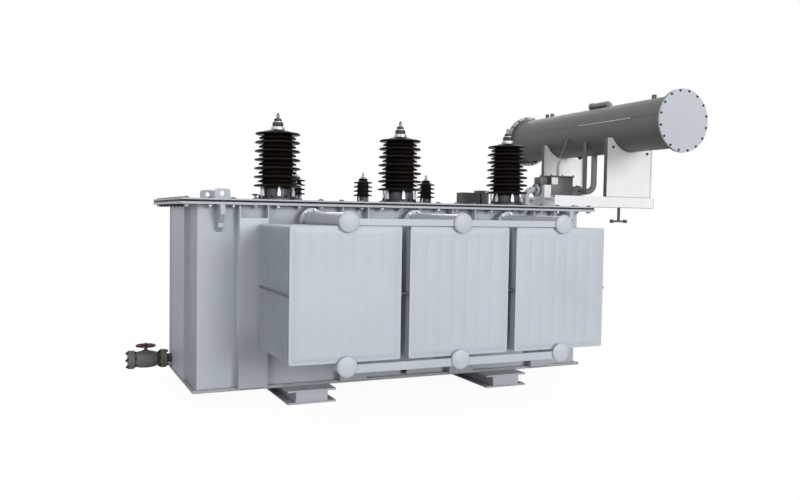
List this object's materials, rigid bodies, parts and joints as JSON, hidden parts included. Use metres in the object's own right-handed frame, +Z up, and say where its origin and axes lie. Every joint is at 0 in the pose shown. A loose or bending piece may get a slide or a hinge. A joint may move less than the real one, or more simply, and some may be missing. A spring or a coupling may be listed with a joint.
{
  "type": "oil-filled power transformer",
  "caption": "Oil-filled power transformer: a ribbed tank on skids with bolted panel radiators, tall and short bushings on its cover and an overhanging cylindrical conservator.",
  "frame": {"origin": "on the ground, under the middle of the whole object", "axes": "+X along the tank towards the conservator, +Y away from the side in the picture, +Z up"},
  "size_m": [4.085, 2.686, 2.235],
  "materials": {
    "tank_paint": "satin grey oil-tank enamel",
    "radiator_paint": "satin light grey enamel",
    "support_paint": "satin pale grey enamel",
    "conservator_paint": "satin grey enamel",
    "drum_paint": "satin dark grey enamel",
    "pipe_paint": "satin mid grey enamel",
    "fitting_paint": "dark grey enamel",
    "skid_paint": "satin grey enamel",
    "gasket_rubber": "matt black oil-proof rubber",
    "bushing_glaze": "dark brown glossy glaze",
    "terminal_metal": "bright plated studs",
    "collar_metal": "cast aluminium",
    "valve_iron": "dark painted cast iron",
    "handwheel_paint": "dark red enamel"
  },
  "bodies": {
    "transformer": {"back_radiator_left": "radiator_paint", "back_radiator_middle": "radiator_paint", "back_radiator_right": "radiator_paint", "back_stiffeners": "tank_paint", "back_wall": "tank_paint", "base_plate": "tank_paint", "conservator_back_cover": "conservator_paint", "conservator_beams": "support_paint", "conservator_drum": "drum_paint", "conservator_front_cover": "conservator_paint", "conservator_lugs": "drum_paint", "conservator_supports": "support_paint", "cover_gasket": "gasket_rubber", "cover_lugs": "tank_paint", "cover_plate": "tank_paint", "drain_blank": "valve_iron", "drain_cock": "fitting_paint", "drain_stub": "valve_iron", "drain_valve": "valve_iron", "earth_terminals": "terminal_metal", "end_stiffeners": "tank_paint", "fill_pipe": "fitting_paint", "filler_elbow": "pipe_paint", "front_radiator_left": "radiator_paint", "front_radiator_middle": "radiator_paint", "front_radiator_right": "radiator_paint", "front_stiffeners": "tank_paint", "front_wall": "tank_paint", "gas_relay": "fitting_paint", "hv_collars": "collar_metal", "hv_insulator_left": "bushing_glaze", "hv_insulator_middle": "bushing_glaze", "hv_insulator_right": "bushing_glaze", "hv_terminals": "terminal_metal", "left_end_wall": "tank_paint", "lv_collars": "collar_metal", "lv_insulators": "bushing_glaze", "lv_terminals": "terminal_metal", "radiator_ties": "radiator_paint", "radiator_valves": "radiator_paint", "relay_drum_pipe": "pipe_paint", "relay_riser": "conservator_paint", "relay_vent_pipe": "pipe_paint", "right_end_wall": "tank_paint", "skid_left": "skid_paint", "skid_right": "skid_paint", "tank_lifting_lugs": "tank_paint", "tank_rim": "tank_paint", "tap_changer_head": "fitting_paint", "vent_plug": "drum_paint"},
    "handwheel": {"drain_handwheel": "handwheel_paint"}
  },
  "joints": [
    {"name": "drain_handwheel_turn", "type": "hinge", "parent": "transformer", "child": "handwheel", "pos_m": [-1.911, 0.3, 0.265], "axis": [0, 0, 1], "range_deg": [0, 1440]}
  ]
}
